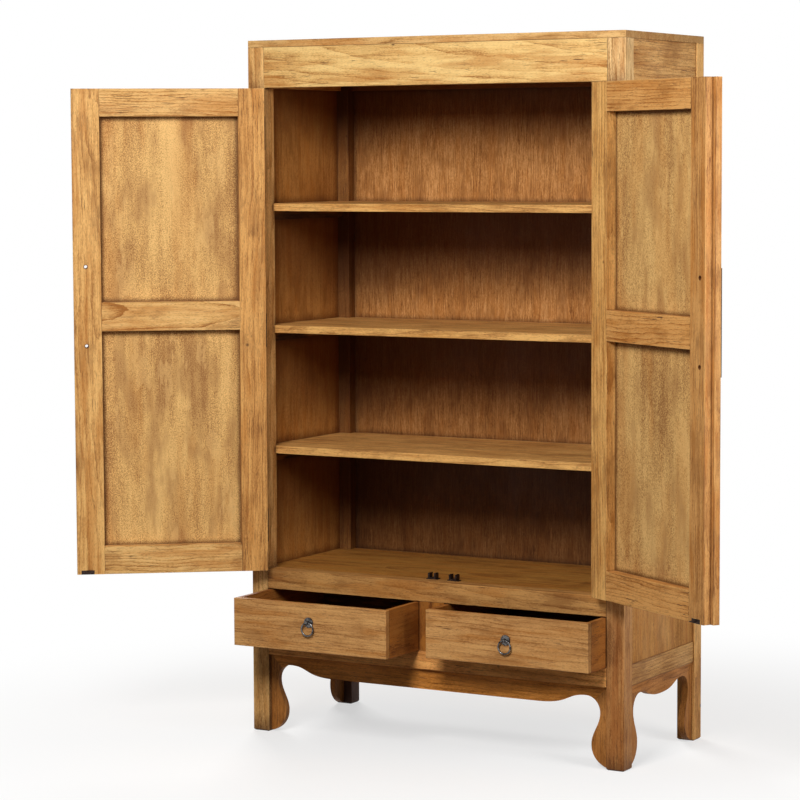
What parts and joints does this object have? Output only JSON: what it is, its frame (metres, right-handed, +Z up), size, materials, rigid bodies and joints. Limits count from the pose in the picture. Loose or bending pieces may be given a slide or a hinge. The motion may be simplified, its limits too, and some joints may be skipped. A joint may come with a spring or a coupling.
{
  "type": "cabinet",
  "caption": "Tall wooden cabinet with hinged panel doors, fixed shelves, drawers below and shaped bracket feet.",
  "frame": {"origin": "on the floor, in the middle of the footprint of the four posts", "axes": "+X to the right seen from the front, +Y from the front to the back, +Z up"},
  "size_m": [1.8731, 0.8412, 1.9],
  "materials": {
    "carcass_frame_wood": "waxed satin",
    "door_frame_wood": "waxed satin",
    "door_panel_wood": "waxed satin",
    "carcass_panel_wood": "waxed satin",
    "shelf_wood": "waxed satin",
    "drawer_front_wood": "waxed satin",
    "skirt_wood": "waxed satin",
    "inner_wood": "bare, planed",
    "iron": "worn dark iron"
  },
  "bodies": {
    "carcass": {"back_panels": "carcass_panel_wood", "back_rails": "carcass_frame_wood", "drawer_divider": "carcass_frame_wood", "drawer_rail": "carcass_frame_wood", "drawer_runners": "inner_wood", "floor_bearers": "inner_wood", "floor_board": "shelf_wood", "floor_catches": "iron", "front_apron": "skirt_wood", "front_left_bracket": "skirt_wood", "front_left_post": "carcass_frame_wood", "front_lower_rail": "carcass_frame_wood", "front_right_bracket": "skirt_wood", "front_right_post": "carcass_frame_wood", "header_rail": "carcass_frame_wood", "hinge_pins": "iron", "left_apron": "skirt_wood", "left_side_panel": "carcass_panel_wood", "left_side_rails": "carcass_frame_wood", "lower_shelf": "shelf_wood", "middle_shelf": "shelf_wood", "post_hinge_leaves": "iron", "rear_left_post": "carcass_frame_wood", "rear_right_post": "carcass_frame_wood", "right_apron": "skirt_wood", "right_side_panel": "carcass_panel_wood", "right_side_rails": "carcass_frame_wood", "shelf_cleats": "inner_wood", "side_brackets": "skirt_wood", "top_board": "carcass_frame_wood", "upper_shelf": "shelf_wood"},
    "left_door": {"left_door_hinge_leaves": "iron", "left_door_panels": "door_panel_wood", "left_door_plate": "iron", "left_door_rails": "door_frame_wood", "left_door_strike": "iron", "left_hinge_stile": "door_frame_wood", "left_meeting_stile": "door_frame_wood"},
    "right_door": {"right_door_hinge_leaves": "iron", "right_door_panels": "door_panel_wood", "right_door_plate": "iron", "right_door_rails": "door_frame_wood", "right_door_strike": "iron", "right_hinge_stile": "door_frame_wood", "right_meeting_stile": "door_frame_wood"},
    "left_drawer": {"left_drawer_back": "inner_wood", "left_drawer_bottom": "inner_wood", "left_drawer_front": "drawer_front_wood", "left_drawer_rosette": "iron", "left_drawer_sides": "inner_wood"},
    "right_drawer": {"right_drawer_back": "inner_wood", "right_drawer_bottom": "inner_wood", "right_drawer_front": "drawer_front_wood", "right_drawer_rosette": "iron", "right_drawer_sides": "inner_wood"},
    "left_drawer_pull": {"left_drawer_ring": "iron"},
    "right_drawer_pull": {"right_drawer_ring": "iron"},
    "left_door_pull": {"left_door_ring": "iron"},
    "right_door_pull": {"right_door_ring": "iron"}
  },
  "joints": [
    {"name": "left_door_hinge", "type": "hinge", "parent": "carcass", "child": "left_door", "pos_m": [-0.51525, -0.249, 1.113], "axis": [0, 0, 1], "range_deg": [-32.1, 142.9]},
    {"name": "right_door_hinge", "type": "hinge", "parent": "carcass", "child": "right_door", "pos_m": [0.51525, -0.249, 1.113], "axis": [0, 0, -1], "range_deg": [-26.8, 148.2]},
    {"name": "left_drawer_slide", "type": "slide", "parent": "carcass", "child": "left_drawer", "axis": [0, -1, 0], "range_m": [-0.175, 0.165]},
    {"name": "right_drawer_slide", "type": "slide", "parent": "carcass", "child": "right_drawer", "axis": [0, -1, 0], "range_m": [-0.103, 0.237]},
    {"name": "left_drawer_ring_swing", "type": "hinge", "parent": "left_drawer", "child": "left_drawer_pull", "pos_m": [-0.277, -0.427, 0.349], "axis": [-1, 0, 0], "range_deg": [-5, 95]},
    {"name": "right_drawer_ring_swing", "type": "hinge", "parent": "right_drawer", "child": "right_drawer_pull", "pos_m": [0.277, -0.355, 0.336], "axis": [-1, 0, 0], "range_deg": [-5, 95]},
    {"name": "left_door_ring_swing", "type": "hinge", "parent": "left_door", "child": "left_door_pull", "pos_m": [-0.87369, -0.51319, 1.185], "axis": [0.7976, 0.6032, 0], "range_deg": [-5, 95]},
    {"name": "right_door_ring_swing", "type": "hinge", "parent": "right_door", "child": "right_door_pull", "pos_m": [0.89656, -0.47895, 1.185], "axis": [0.8499, -0.527, 0], "range_deg": [-5, 95]}
  ]
}
